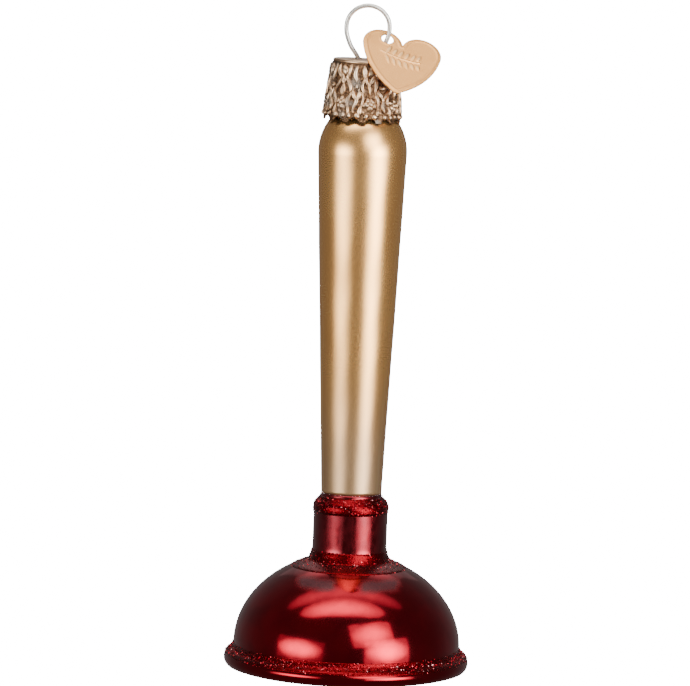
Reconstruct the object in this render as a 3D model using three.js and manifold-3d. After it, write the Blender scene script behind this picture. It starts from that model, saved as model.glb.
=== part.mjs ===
import * as THREE from 'three';
import { mergeVertices } from 'three/addons/utils/BufferGeometryUtils.js';
import Module from 'manifold-3d';

const wasm = await Module();
wasm.setup();

// A mouth-blown glass hanging ornament in the shape of a toilet plunger.
// Millimetres and degrees. It stands on z = 0 with its axis on Z; the tag hangs towards +X and -Y.

// blown glass: outside sizes
const wall = 0.75;
const domeRadius = 20.45;
const domeRise = 16.5;
const lipOverhang = 1.67;
const lipRadius = 1.5;
const lipTurn = 62;
const footWidth = 2.2;
const baseDish = 3.1;
const collarFootSpread = 0.77;
const collarFlare = 2.9;
const collarRadius = 6.63;
const collarLength = 6.95;
const collarShoulder = 2.6;
const handleFootRadius = 5.38;
const handleTopRadius = 7.92;
const handleLength = 61.8;
const shoulderRadius = 9.6;
const shoulderTurn = 38;
const neckBlend = 1.5;
const neckRadius = 5.35;

// coats on the glass
const coatGap = 0.04;
const lacquer = 0.1;
const liningThickness = 0.08;
const glitterGap = 0.04;
const glitterThickness = 0.22;
const partingGap = 0.06;
const lacquerStart = -48;
const glitterRimStart = 28;
const glitterOverDome = 0.14;
const glitterUnderShoulder = 0.9;

// stamped crown cap
const capSheet = 0.3;
const capFit = 0.35;
const capFlare = 1.15;
const capEdge = 0.7;
const capSeat = 0.3;
const capTilt = 2;
const capDepth = 11;
const hemLift = 1.95;
const scallops = 14;
const scallopRadius = 1.15;
const scallopDepth = 0.75;
const pearlRadius = 0.5;
const wireHoleFit = 0.24;
const wireHoleSpacing = 2.5;

// hanger wire
const wireRadius = 0.42;
const loopRadius = 3.88;
const loopRise = 6.1;
const loopDrop = 5.3;
const loopLean = 8;
const legDepth = 13.5;
const legFit = 1.25;
const legWaist = 0.95;
const waistDepth = 2.6;
const loopOpening = 100;

// heart tag
const tagThickness = 0.35;
const lobeRadius = 3.68;
const lobeOffset = 3.56;
const heartLength = 11.2;
const heartSideRadius = 15.7;
const heartTipRadius = 0.93;
const tagHoleFit = 0.68;
const tagHoleRise = 1.68;
const tagHoleSide = 0.67;
const tagWireAngle = -20.5;
const tagTurn = 16.3;
const tagYaw = 17.1;
const tagSlack = 0.22;
const tagRest = 0.15;
const heartMiddle = -1.2;
const borderOuter = 0.9;
const borderInner = 0.8;
const borderHeight = 0.12;
const eyeletWidth = 0.35;

// mesh fineness
const aroundGlass = 32;
const aroundSmall = 12;
const wireSteps = 84;
const loopPoints = 9;

const radians = THREE.MathUtils.degToRad;
const degrees = THREE.MathUtils.radToDeg;
const point = (r, z) => new THREE.Vector2(r, z);

// A run of points on an arc or, with a second radius, on an ellipse.
function arc(r, z, radius, from, to, steps, rise = radius) {
  return Array.from({ length: steps + 1 }, (_, i) => {
    const angle = radians(from + ((to - from) * i) / steps);
    return point(r + radius * Math.cos(angle), z + rise * Math.sin(angle));
  });
}

// Neighbouring runs share their end points, so a repeated point is dropped.
function joined(...runs) {
  const near = 1e-6;
  return runs.flat().filter((p, i, all) => i === 0 || p.distanceTo(all[i - 1]) > near);
}

// The same outline moved sideways, positive away from the axis on an outline that climbs.
function shifted(outline, distance) {
  const sides = outline.slice(1).map((p, i) => {
    const along = p.clone().sub(outline[i]).normalize();
    return point(along.y, -along.x);
  });
  return outline.map((p, i) => {
    const before = sides[Math.max(i - 1, 0)];
    const after = sides[Math.min(i, sides.length - 1)];
    const mitre = before.clone().add(after).divideScalar(1 + before.dot(after));
    const moved = p.clone().addScaledVector(mitre, distance);
    return point(p.x === 0 ? 0 : moved.x, moved.y);
  });
}

// Two equal arcs that lead from one vertical line to another.
function easing(fromR, fromZ, toR, toZ, steps) {
  const turn = 2 * Math.atan((fromR - toR) / (toZ - fromZ));
  const radius = (toZ - fromZ) / 2 / Math.sin(turn);
  return joined(
    arc(fromR - radius, fromZ, radius, 0, degrees(turn), steps),
    arc(toR + radius, toZ, radius, 180 + degrees(turn), 180, steps),
  );
}

// Outside of the glass, run by run from the middle of the base to the mouth of the neck.
const lipCentre = domeRadius + lipOverhang - lipRadius;
const footInside = lipCentre - footWidth;

function baseRun() {
  const radius = (footInside ** 2 + baseDish ** 2) / (2 * baseDish);
  const reach = degrees(Math.asin(footInside / radius));
  const dish = arc(0, baseDish - radius, radius, 90, 90 - reach, 3);
  dish[0].x = 0;
  return dish;
}

function lipRun(start) {
  return arc(lipCentre, lipRadius, lipRadius, start, lipTurn, 6);
}

const lipEnd = lipRun(0).at(-1);
const lipBlend = (lipEnd.x - domeRadius) / (1 - Math.cos(radians(lipTurn)));
const domeFoot = lipEnd.y + lipBlend * Math.sin(radians(lipTurn));

function blendRun() {
  return arc(domeRadius + lipBlend, domeFoot, lipBlend, 180 + lipTurn, 180, 3);
}

function domeRun(from = 0, steps = 9) {
  const reach = degrees(Math.acos((collarRadius + collarFootSpread) / domeRadius));
  return arc(0, domeFoot, domeRadius, from * reach, reach, steps, domeRise);
}

const collarFoot = domeRun().at(-1).y;
const collarTop = collarFoot + collarFlare + collarLength;
const handleFoot = collarTop + collarShoulder;
const shoulderHeight = handleFoot + handleLength;

function flareRun() {
  const turn = 2 * Math.atan(collarFootSpread / collarFlare);
  const radius = collarFlare / Math.sin(turn);
  return arc(collarRadius + radius, collarFoot + collarFlare, radius, 180 + degrees(turn), 180, 2);
}

function collarShoulderRun() {
  return easing(collarRadius, collarTop, handleFootRadius, handleFoot, 2);
}

function handleRun() {
  const centre = handleTopRadius - shoulderRadius;
  const taper = Math.atan((handleTopRadius - handleFootRadius) / (shoulderHeight - handleFoot));
  const start = -degrees(taper);
  const shoulder = arc(centre, shoulderHeight, shoulderRadius, start, shoulderTurn, 4);
  const end = shoulder.at(-1);
  const blendR = neckRadius + neckBlend * (1 - Math.cos(radians(shoulderTurn)));
  const blendZ = end.y + (end.x - blendR) / Math.tan(radians(shoulderTurn));
  const neckFoot = blendZ + neckBlend * Math.sin(radians(shoulderTurn));
  const blend = arc(neckRadius + neckBlend, neckFoot, neckBlend, 180 + shoulderTurn, 180, 2);
  return joined([point(handleFootRadius, handleFoot)], shoulder, blend);
}

// The neck is as long as the cap needs for its hem to hang clear above the shoulder.
const capTopRadius = neckRadius + capFit + capSheet;
const capHemRadius = capTopRadius + capFlare;
const capTop = capSeat + capSheet;
const capHem = capTop - capDepth;
const shoulderAtHem = Math.acos(1 - (handleTopRadius - capHemRadius) / shoulderRadius);
const neckTop = shoulderHeight + shoulderRadius * Math.sin(shoulderAtHem) + hemLift - capHem;

function cupRuns(lipStart) {
  return joined(lipRun(lipStart), blendRun(), domeRun(), flareRun(), collarShoulderRun());
}

function glassOutside() {
  return joined(baseRun(), cupRuns(-90), handleRun(), [point(neckRadius, neckTop)]);
}

// A solid of revolution about Z from an outline that closes on itself or ends on the axis.
function turned(outline, segments = aroundGlass) {
  return new THREE.LatheGeometry(outline, segments).rotateX(Math.PI / 2);
}

// The skin between two shifts of one outline.
function skin(outline, inner, outer) {
  const outside = shifted(outline, outer);
  const inside = shifted(outline, inner).reverse();
  return turned([...outside, ...inside, outside[0].clone()]);
}

function asSolid(geometry) {
  const bare = new THREE.BufferGeometry();
  const plain = geometry.index ? geometry.toNonIndexed() : geometry;
  bare.setAttribute('position', plain.getAttribute('position'));
  const welded = mergeVertices(bare, 1e-4);
  const mesh = new wasm.Mesh({
    numProp: 3,
    vertProperties: welded.attributes.position.array,
    triVerts: new Uint32Array(welded.index.array),
  });
  return new wasm.Manifold(mesh);
}

function asGeometry(solid) {
  const mesh = solid.getMesh();
  const geometry = new THREE.BufferGeometry();
  geometry.setAttribute('position', new THREE.BufferAttribute(mesh.vertProperties, 3));
  geometry.setIndex(new THREE.BufferAttribute(mesh.triVerts, 1));
  const faceted = geometry.toNonIndexed();
  faceted.computeVertexNormals();
  return faceted;
}

const finishes = {
  glass: { color: 0xdfe6e4, roughness: 0.05, metalness: 0, transparent: true, opacity: 0.4 },
  silvering: { color: 0xd9dadb, roughness: 0.08, metalness: 1 },
  goldLacquer: { color: 0xc79a68, roughness: 0.35, metalness: 0.8 },
  redLacquer: { color: 0xa3101f, roughness: 0.08, metalness: 0.7 },
  redGlitter: { color: 0xc8283a, roughness: 0.5, metalness: 0.6 },
  capBrass: { color: 0xa97f62, roughness: 0.35, metalness: 1 },
  springWire: { color: 0xc9c8c4, roughness: 0.25, metalness: 1 },
  tagFoil: { color: 0xe6c59b, roughness: 0.45, metalness: 0.9 },
};

function piece(name, geometry, finish) {
  const mesh = new THREE.Mesh(geometry, new THREE.MeshStandardMaterial(finishes[finish]));
  mesh.name = name;
  return mesh;
}

// Glass: one shell, open only at the neck.
function glassBody() {
  const outside = glassOutside();
  const inside = shifted(outside, -wall).reverse();
  return piece('glass_body', turned([...outside, ...inside]), 'glass');
}

// Silvering: a mirror coat on the inside, from the base to the foot of the neck.
function silverLining() {
  const outline = glassOutside().slice(0, -1);
  const outer = shifted(outline, -wall - coatGap);
  const inner = shifted(outline, -wall - coatGap - liningThickness).reverse();
  return piece('silver_lining', turned([...outer, ...inner]), 'silvering');
}

// Lacquers: gold on the handle, red on the collar and cup. The standing foot is left bare.
function handleLacquer() {
  const outline = handleRun();
  outline[0].y += partingGap;
  return piece('handle_lacquer', skin(outline, coatGap, coatGap + lacquer), 'goldLacquer');
}

function cupLacquer() {
  const outline = cupRuns(lacquerStart);
  return piece('cup_lacquer', skin(outline, coatGap, coatGap + lacquer), 'redLacquer');
}

// Glitter: three bands glued on the red lacquer.
function glitterBand(name, outline) {
  const inner = coatGap + lacquer + glitterGap;
  return piece(name, skin(outline, inner, inner + glitterThickness), 'redGlitter');
}

function glitterBands() {
  const shoulder = collarShoulderRun().slice(0, -1);
  const collarEdge = joined([point(collarRadius, collarTop - glitterUnderShoulder)], shoulder);
  const dome = domeRun(1 - glitterOverDome, 3);
  const flare = flareRun().slice(0, 2);
  return [
    glitterBand('glitter_collar_top', collarEdge),
    glitterBand('glitter_collar_foot', joined(dome, flare)),
    glitterBand('glitter_rim', joined(lipRun(glitterRimStart), blendRun())),
  ];
}

// Cap: drawn sheet with a scalloped hem, a row of pearls and two wire holes.
// Its group stands on the mouth of the neck.
function capOutside() {
  const lean = Math.atan((capHemRadius - capTopRadius) / (capDepth - capEdge));
  const edge = arc(capTopRadius - capEdge, capTop - capEdge, capEdge,
    degrees(lean), 90, 4);
  return joined([point(capHemRadius, capHem)], edge, [point(0, capTop)]);
}

function radialCylinder(radius, length, angle, z) {
  const drill = new THREE.CylinderGeometry(radius, radius, length, aroundSmall);
  drill.rotateZ(Math.PI / 2);
  drill.translate(length / 2 + 1, 0, z);
  return drill.rotateZ(angle);
}

function crownCap() {
  const wireHole = wireRadius + wireHoleFit;
  const outside = capOutside();
  const inside = shifted(outside, -capSheet).reverse();
  let cap = asSolid(turned([...inside, ...outside], 3 * scallops));
  const pearlHeight = capHem + scallopDepth + 2 * pearlRadius;
  const pearlReach = THREE.MathUtils.mapLinear(
    pearlHeight, capHem, capTop - capEdge, capHemRadius, capTopRadius);
  for (let i = 0; i < scallops; i += 1) {
    const angle = (2 * Math.PI * i) / scallops;
    const cut = radialCylinder(
      scallopRadius, capHemRadius + 1, angle, capHem - scallopRadius + scallopDepth);
    cap = cap.subtract(asSolid(cut));
    const between = angle + Math.PI / scallops;
    const pearl = new THREE.SphereGeometry(pearlRadius, 8, 4);
    pearl.translate(pearlReach * Math.cos(between), pearlReach * Math.sin(between), pearlHeight);
    cap = cap.add(asSolid(pearl));
  }
  for (const side of [-1, 1]) {
    const hole = new THREE.CylinderGeometry(wireHole, wireHole, 4 * capSheet, 2 * aroundSmall);
    hole.rotateX(Math.PI / 2);
    hole.translate((side * wireHoleSpacing) / 2, 0, capTop - capSheet / 2);
    cap = cap.subtract(asSolid(hole));
  }
  return piece('crown_cap', asGeometry(cap), 'capBrass');
}

// Hanger: one wire, a round loop above the cap and two sprung legs down into the neck.
// Its group pivots about the line through both wire holes.
function loopPoint(angle) {
  const turn = radians(angle);
  const tall = Math.sin(turn) > 0 ? loopRadius : loopDrop;
  return new THREE.Vector3(loopRadius * Math.cos(turn), 0, loopRise + tall * Math.sin(turn));
}

function hangerPath() {
  const legSpread = neckRadius - wall - wireRadius - legFit;
  const leg = [
    new THREE.Vector3(legSpread, 0, -legDepth),
    new THREE.Vector3((legSpread + legWaist) / 2, 0, -(legDepth + waistDepth) / 2),
    new THREE.Vector3(legWaist, 0, -waistDepth),
    new THREE.Vector3(wireHoleSpacing / 2, 0, 0),
  ];
  const loop = Array.from({ length: loopPoints }, (_, i) => {
    const along = i / (loopPoints - 1) - 0.5;
    return loopPoint(90 + along * (360 - loopOpening));
  });
  const otherLeg = leg.map((p) => p.clone().setX(-p.x)).reverse();
  return new THREE.CatmullRomCurve3([...leg, ...loop, ...otherLeg], false, 'centripetal');
}

function hangerWire() {
  const section = new THREE.Shape().absarc(0, 0, wireRadius, 0, 2 * Math.PI);
  const geometry = new THREE.ExtrudeGeometry(section, {
    curveSegments: aroundSmall / 2,
    steps: wireSteps,
    extrudePath: hangerPath(),
  });
  return piece('hanger_wire', geometry, 'springWire');
}

// Tag: a heart stamped from sheet, hung by a hole in its left lobe, with a raised border.
// Its outline from the tip up to the notch is a small arc, a long side and a lobe.
function heart(scale = 1) {
  const lobe = point(lobeOffset, 0);
  const tip = point(0, heartTipRadius - heartLength);
  const toLobe = heartSideRadius - lobeRadius;
  const toTip = heartSideRadius - heartTipRadius;
  const apart = lobe.distanceTo(tip);
  const bend = Math.acos((toLobe ** 2 + apart ** 2 - toTip ** 2) / (2 * toLobe * apart));
  const towards = tip.clone().sub(lobe).angle() - bend;
  const middle = point(Math.cos(towards), Math.sin(towards)).multiplyScalar(toLobe).add(lobe);
  const start = degrees(Math.atan2(tip.y - middle.y, tip.x - middle.x));
  const end = degrees(Math.atan2(lobe.y - middle.y, lobe.x - middle.x));
  const notch = degrees(Math.acos(lobeOffset / lobeRadius));
  const half = joined(
    arc(tip.x, tip.y, heartTipRadius, -90, start, 3),
    arc(middle.x, middle.y, heartSideRadius, start, end, 5),
    arc(lobe.x, lobe.y, lobeRadius, end, 180 - notch, 14),
  );
  const mirrored = half.slice(1, -1).reverse().map((p) => point(-p.x, p.y));
  const shift = heartMiddle * (1 - scale);
  return new THREE.Shape([...half, ...mirrored].map((p) => point(p.x * scale, p.y * scale + shift)));
}

function plate(outline, depth, from = 0) {
  const geometry = new THREE.ExtrudeGeometry(outline, {
    depth,
    bevelEnabled: false,
  });
  return asSolid(geometry.translate(0, 0, from));
}

function heartTag() {
  const tagHole = wireRadius + tagHoleFit;
  const holeX = -lobeOffset + tagHoleSide;
  const sheet = plate(heart(), tagThickness);
  const raised = plate(heart(borderOuter), 2 * borderHeight, tagThickness - borderHeight);
  const sunk = plate(heart(borderInner), 4 * borderHeight, tagThickness - 2 * borderHeight);
  const disc = (radius) => {
    const drill = new THREE.CylinderGeometry(radius, radius, 4 * tagThickness, 2 * aroundSmall);
    return asSolid(drill.rotateX(Math.PI / 2).translate(holeX, tagHoleRise, 0));
  };
  const border = raised.subtract(sunk).subtract(disc(tagHole + eyeletWidth));
  const stamped = asGeometry(sheet.add(border).subtract(disc(tagHole)));
  stamped.translate(-holeX, -tagHoleRise, -tagThickness / 2);
  stamped.rotateX(Math.PI / 2);
  return piece('heart_tag', stamped, 'tagFoil');
}

const group = new THREE.Group();
group.name = 'plunger_ornament';
group.add(glassBody(), silverLining(), handleLacquer(), cupLacquer(), ...glitterBands());

// The cap sits a little askew on the neck, and carries the hanger.
const cap = new THREE.Group();
cap.rotation.y = radians(capTilt);
cap.position.z = neckTop;
cap.add(crownCap());
group.add(cap);

const hanger = new THREE.Group();
hanger.position.z = capTop - capSheet / 2;
hanger.rotation.x = radians(loopLean);
hanger.add(hangerWire());
cap.add(hanger);

// The tag turns in its own plane, tips its point forward until its back rests on the rounded
// edge of the cap, then turns its face to one side.
const eye = loopPoint(tagWireAngle).applyEuler(hanger.rotation).add(hanger.position);
const over = eye.z - capTop + capEdge;
const yaw = radians(tagYaw);
const out = capTopRadius - capEdge - eye.x * Math.sin(yaw) + eye.y * Math.cos(yaw);
const stand = capEdge + tagThickness / 2 + tagRest;
const tilt = Math.atan2(out, over) + Math.asin(stand / Math.hypot(out, over));
const tag = new THREE.Group();
tag.rotation.set(-tilt, radians(tagTurn), yaw, 'ZXY');
const droop = new THREE.Vector3(0, 0, -tagSlack).applyEuler(tag.rotation);
tag.position.copy(eye).add(droop);
tag.add(heartTag());
cap.add(tag);

export default group;
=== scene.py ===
import math

import bmesh
import bpy
import numpy as np
from mathutils import Matrix, Vector, geometry


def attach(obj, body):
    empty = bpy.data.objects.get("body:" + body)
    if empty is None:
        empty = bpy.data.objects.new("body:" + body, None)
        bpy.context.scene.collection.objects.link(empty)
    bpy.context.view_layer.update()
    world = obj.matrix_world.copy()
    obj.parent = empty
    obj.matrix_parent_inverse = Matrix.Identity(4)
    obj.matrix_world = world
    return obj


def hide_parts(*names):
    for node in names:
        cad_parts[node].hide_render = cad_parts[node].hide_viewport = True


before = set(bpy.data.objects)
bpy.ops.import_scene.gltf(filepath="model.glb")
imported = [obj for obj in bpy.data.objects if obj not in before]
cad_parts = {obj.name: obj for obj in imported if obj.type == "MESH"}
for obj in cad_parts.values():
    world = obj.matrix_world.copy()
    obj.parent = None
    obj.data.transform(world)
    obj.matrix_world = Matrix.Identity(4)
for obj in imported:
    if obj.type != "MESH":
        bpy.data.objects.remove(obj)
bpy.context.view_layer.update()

# A mouth-blown glass hanging ornament in the shape of a toilet plunger.
# Sizes in the dictionaries are millimetres and degrees; meshes are made in metres.
mm = 0.001
hair = 1e-6   # less than this apart is the same place


class Signal:
    # one output of a node, with plain arithmetic
    def __init__(self, finish, socket):
        self.finish = finish
        self.socket = socket

    def maths(self, operation, *values):
        return self.finish.node("Math", {"operation": operation}, dict(enumerate(values)))

    def __add__(self, other):
        return self.maths("ADD", self, other)

    def __radd__(self, other):
        return self.maths("ADD", other, self)

    def __sub__(self, other):
        return self.maths("SUBTRACT", self, other)

    def __rsub__(self, other):
        return self.maths("SUBTRACT", other, self)

    def __mul__(self, other):
        return self.maths("MULTIPLY", self, other)

    def __rmul__(self, other):
        return self.maths("MULTIPLY", other, self)

    def __abs__(self):
        return self.maths("ABSOLUTE", self)


class Finish:
    # a material while it is being put together
    def __init__(self, name, **constants):
        self.material = bpy.data.materials.new(name)
        self.material.use_nodes = True
        self.tree = self.material.node_tree
        self.tree.nodes.clear()
        self.shader = self.tree.nodes.new("ShaderNodeBsdfPrincipled")
        output = self.tree.nodes.new("ShaderNodeOutputMaterial")
        self.tree.links.new(self.shader.outputs[0], output.inputs[0])
        self.painted(**constants)

    def feed(self, target, inputs):
        for key, value in inputs.items():
            socket = target.inputs[key]
            if isinstance(value, Signal):
                self.tree.links.new(value.socket, socket)
            elif socket.type == "RGBA":
                socket.default_value = (*value, 1)
            else:
                socket.default_value = value

    def node(self, kind, settings, inputs, output=0):
        made = self.tree.nodes.new("ShaderNode" + kind)
        for key, value in settings.items():
            if key == "stops":
                ramp = made.color_ramp.elements
                while len(ramp) < len(value):
                    ramp.new(0.5)
                for stop, (position, colour) in zip(ramp, value):
                    stop.position = position
                    stop.color = (*colour, 1)
            else:
                setattr(made, key, value)
        self.feed(made, inputs)
        return Signal(self, made.outputs[output])

    # where a point is on its piece, in millimetres
    def place(self, stretch=(1, 1, 1)):
        spot = self.node("TexCoord", {}, {}, "Object")
        return self.node("VectorMath", {"operation": "MULTIPLY"},
                         {0: spot, 1: tuple(share / mm for share in stretch)})

    def height(self):
        return self.node("SeparateXYZ", {}, {0: self.place()}, "Z")

    def mottle(self, grain, detail=2, stretch=(1, 1, 1), seed=0.0):
        return self.node("TexNoise", {"noise_dimensions": "4D"},
                         {"Vector": self.place(stretch), "W": seed, "Scale": 1 / grain, "Detail": detail})

    # 0 below low, 1 above high, smooth between
    def rise(self, value, low, high):
        return self.node("MapRange", {"interpolation_type": "SMOOTHSTEP"},
                         {"Value": value, "From Min": low, "From Max": high})

    # sockets 6 and 7 of this node are its two colours
    def blend(self, first, second, amount):
        return self.node("Mix", {"data_type": "RGBA"}, {0: amount, 6: first, 7: second}, 2)

    def bump(self, height, depth, strength=1.0, under=None):
        inputs = {"Height": height, "Distance": depth * mm, "Strength": strength}
        if under:
            inputs["Normal"] = under
        return self.node("Bump", {}, inputs)

    def painted(self, **inputs):
        self.feed(self.shader, {key.replace("_", " "): value for key, value in inputs.items()})
        return self.material


def makePiece(name, points, faces, finish, smooth=True):
    mesh = bpy.data.meshes.new(name)
    mesh.from_pydata((np.asarray(points) * mm).tolist(), [], [list(map(int, f)) for f in faces])
    mesh.validate()
    mesh.polygons.foreach_set("use_smooth", [smooth] * len(mesh.polygons))
    mesh.materials.append(finish)
    piece = bpy.data.objects.new(name, mesh)
    bpy.context.scene.collection.objects.link(piece)
    return piece


def storeOnPoints(piece, name, values):
    layer = piece.data.attributes.new(name, "FLOAT", "POINT")
    layer.data.foreach_set("value", np.asarray(values, np.float32))


# quads of a sheet of rows x columns points; the columns close on themselves
def sheetFaces(rows, columns, start=0, closedRows=False):
    bands = rows if closedRows else rows - 1
    row, column = np.meshgrid(np.arange(bands), np.arange(columns), indexing="ij")
    after, beside = (row + 1) % rows, (column + 1) % columns
    quads = np.stack([row * columns + column, row * columns + beside,
                      after * columns + beside, after * columns + column], -1)
    return (quads.reshape(-1, 4) + start).tolist()


def moved(points, matrix):
    turn = np.array(matrix.to_3x3())
    return np.asarray(points) @ turn.T + np.array(matrix.translation)


def settle(piece, body, slot, *nodes):
    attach(piece, body)
    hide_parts(*nodes)
    return piece


camera = {
    "aim": (-2.03, 0, 59.3),
    "stand": (-2.03, -900, 160),
    "lens": 261.5,
    "sensor": 36,
    "clip": (50, 20000),
    "roll": 1.9,
}


def makeCamera(c):
    data = bpy.data.cameras.new("camera")
    data.lens = c["lens"]
    data.sensor_width = c["sensor"]
    data.clip_start, data.clip_end = [far * mm for far in c["clip"]]
    eye = bpy.data.objects.new("camera", data)
    bpy.context.scene.collection.objects.link(eye)
    aim, stand = Vector(c["aim"]) * mm, Vector(c["stand"]) * mm
    look = (aim - stand).to_track_quat("-Z", "Y").to_matrix().to_4x4()
    roll = Matrix.Rotation(math.radians(c["roll"]), 4, "Z")
    eye.matrix_world = Matrix.Translation(stand) @ look @ roll
    bpy.context.scene.camera = eye


makeCamera(camera)
print("camera set")


# softboxes round the object, a pale floor and white surroundings
# azimuth 0 is the camera's side and grows towards +X; bright is the radiance of a panel
# and core that of the ovals in it, where the lamp behind the cloth shows
studio = {
    "aimHeight": 25,
    "distance": 700,
    "room": 0.19, "roomColour": (1, 0.98, 0.97),
    "white": 22, "floorShare": 0.8,
    "reach": 4000, "floorGap": 0.02,
    "backdropRings": (-8, 0, 12, 25, 40, 60, 89), "backdropSegments": 64,
    "ovals": ((0.95, 0.12), (0.84, 0.15), (0.72, 0.18), (0.59, 0.2), (0.45, 0.2), (0.3, 0.15)),
    "ovalStep": 3,
    "panels": {
        "left": {"azimuth": (-74, -23), "elevation": (-10, 19), "bright": 0.8, "core": 11},
        "right": {"azimuth": (8, 50), "elevation": (13, 47), "bright": 2.4, "core": 8},
        "rightLow": {"azimuth": (19, 66), "elevation": (-12, 21), "bright": 2.6, "core": 17},
        "behind": {"azimuth": (158, 202), "elevation": (20, 62), "bright": 0.2, "core": 1.3},
    },
    "roof": {
        "height": 650,
        "front": {"across": (-0.86, 0.66), "deep": (-0.63, -0.11), "bright": 1.6, "core": 6},
        "back": {"across": (-1.02, 0.85), "deep": (-0.17, 0.24), "bright": 0.5, "core": 2.3},
        "rear": {"across": (-0.6, 0.6), "deep": (0.5, 1.1), "bright": 0.35, "core": 1.2},
    },
}


def lamp(name, shape, width, tall, bright, spot, out):
    data = bpy.data.lights.new(name, "AREA")
    data.shape = shape
    data.size, data.size_y = width, tall
    data.energy = bright * math.pi * width * tall * (math.pi / 4 if shape == "ELLIPSE" else 1)
    made = bpy.data.objects.new(name, data)
    bpy.context.scene.collection.objects.link(made)
    made.location = spot
    made.rotation_mode = "QUATERNION"
    made.rotation_quaternion = out.to_track_quat("Z", "Y")
    made.visible_camera = False


# a panel with ovals before it, so that its light falls off towards the edges
# each oval hangs a little nearer than the last: in one plane they would hide one another in a mirror
def softbox(name, shape, width, tall, bright, core, spot, out):
    lamp(name, shape, width, tall, bright, spot, out)
    for near, (size, share) in enumerate(studio["ovals"], 1):
        hung = spot - out * near * (studio["ovalStep"] * mm)
        lamp(f"{name}{near}", "ELLIPSE", width * size, tall * size, core * share, hung, out)


def standPanel(name, azimuth, elevation, bright, core):
    side, lift = [math.radians(sum(pair) / 2) for pair in (azimuth, elevation)]
    out = Vector((math.sin(side) * math.cos(lift), -math.cos(side) * math.cos(lift), math.sin(lift)))
    reach = studio["distance"] * mm
    width, tall = [2 * reach * math.tan(math.radians((b - a) / 2)) for a, b in (azimuth, elevation)]
    spot = out * reach + Vector((0, 0, studio["aimHeight"] * mm))
    softbox(name, "RECTANGLE", width, tall, bright, core, spot, out)


# across and deep are shares of the height, from straight above the object
def roofPanel(name, height, across, deep, bright, core):
    width, tall = [(b - a) * height for a, b in (across, deep)]
    spot = Vector((sum(across) / 2 * height, sum(deep) / 2 * height, height))
    softbox(name, "ELLIPSE", width, tall, bright, core, spot, Vector((0, 0, 1)))


def whiteFinish(name, glow):
    plain = Finish(name, Roughness=0.8)
    grain = plain.mottle(900, 1)
    return plain.painted(
        Base_Color=plain.blend((0.86, 0.86, 0.86), (0.9, 0.9, 0.9), grain),
        Emission_Color=(1, 1, 1), Emission_Strength=glow)


def makeStudio(s):
    for name, panel in s["panels"].items():
        standPanel(name, **panel)
    for name in ("front", "back", "rear"):
        roofPanel(name + "Roof", s["roof"]["height"] * mm, **s["roof"][name])
    world = bpy.data.worlds.new("room")
    world.use_nodes = True
    sky = world.node_tree.nodes["Background"]
    sky.inputs["Color"].default_value = (*s["roomColour"], 1)
    sky.inputs["Strength"].default_value = s["room"]
    bpy.context.scene.world = world

    reach = s["reach"]
    corners = [(-reach, -reach, 0), (reach, -reach, 0), (reach, reach, 0), (-reach, reach, 0)]
    pale = whiteFinish("pale_floor", s["white"] * s["floorShare"])
    floor = makePiece("floor", corners, [(0, 1, 2, 3)], pale)
    floor.location.z = -s["floorGap"] * mm
    turn = np.linspace(0, 2 * np.pi, s["backdropSegments"], endpoint=False)
    spin = np.column_stack([np.cos(turn), np.sin(turn), 0 * turn]) * reach
    rings = [spin * math.cos(lift) + (0, 0, reach * math.sin(lift))
             for lift in np.radians(s["backdropRings"])]
    wall = makePiece("backdrop", np.concatenate(rings), sheetFaces(len(rings), len(turn)),
                     whiteFinish("white_backdrop", s["white"]))
    for part in (floor, wall):
        part.visible_glossy = part.visible_diffuse = part.visible_shadow = False


makeStudio(studio)
print("studio ready")


# the blown glass: one outline that every coat follows
glass = {
    "wall": 0.75,
    "domeRadius": 20.45, "domeRise": 16.5,
    "lipOverhang": 1.67, "lipRadius": 1.5, "lipTurn": 62,
    "footWidth": 2.2, "baseDish": 3.1,
    "collarFootSpread": 0.77, "collarFlare": 2.9, "collarRadius": 6.63,
    "collarLength": 6.95, "collarShoulder": 2.6,
    "handleFootRadius": 5.38, "handleTopRadius": 7.92, "handleLength": 61.8,
    "shoulderRadius": 9.6, "shoulderTurn": 38,
    "neckBlend": 1.5, "neckRadius": 5.35, "neckTop": 110.03,
    "fineness": 0.3, "segments": 136,
    "unevenness": 0.07, "steadyAbove": 99, "steadyFade": 6,
    # size, lobes round the axis, climb and start of each wave in it
    "waves": ((1, 2, 9, 0), (0.8, 3, -5.3, 1.3), (0.55, 5, 2.9, 4), (0.35, 9, -1.7, 0)),
}


def arc(r, z, radius, start, end, rise=None, step=None):
    rise = rise or radius
    length = abs(math.radians(end - start)) * max(radius, rise)
    count = max(4, math.ceil(length / (step or glass["fineness"])))
    turn = np.radians(np.linspace(start, end, count + 1))
    return np.column_stack([r + radius * np.cos(turn), z + rise * np.sin(turn)])


def straight(start, end, step=0.5):
    count = max(1, math.ceil(math.dist(start, end) / step))
    return np.linspace(start, end, count + 1)


def joined(*runs):
    line = np.concatenate(runs)
    fresh = np.r_[True, np.linalg.norm(np.diff(line, axis=0), axis=1) > 10 * hair]
    return line[fresh]


# the outline moved sideways, positive away from the axis on an outline that climbs
def shifted(outline, distance):
    along = np.diff(outline, axis=0)
    along /= np.linalg.norm(along, axis=1)[:, None]
    side = np.column_stack([along[:, 1], -along[:, 0]])
    before, after = np.vstack([side[:1], side]), np.vstack([side, side[-1:]])
    mitre = (before + after) / (1 + (before * after).sum(1))[:, None]
    made = outline + mitre * distance
    made[outline[:, 0] < hair, 0] = 0
    return made


def easing(fromR, fromZ, toR, toZ):
    turn = 2 * math.atan((fromR - toR) / (toZ - fromZ))
    radius = (toZ - fromZ) / 2 / math.sin(turn)
    bend = math.degrees(turn)
    return joined(arc(fromR - radius, fromZ, radius, 0, bend),
                  arc(toR + radius, toZ, radius, 180 + bend, 180))


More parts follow.
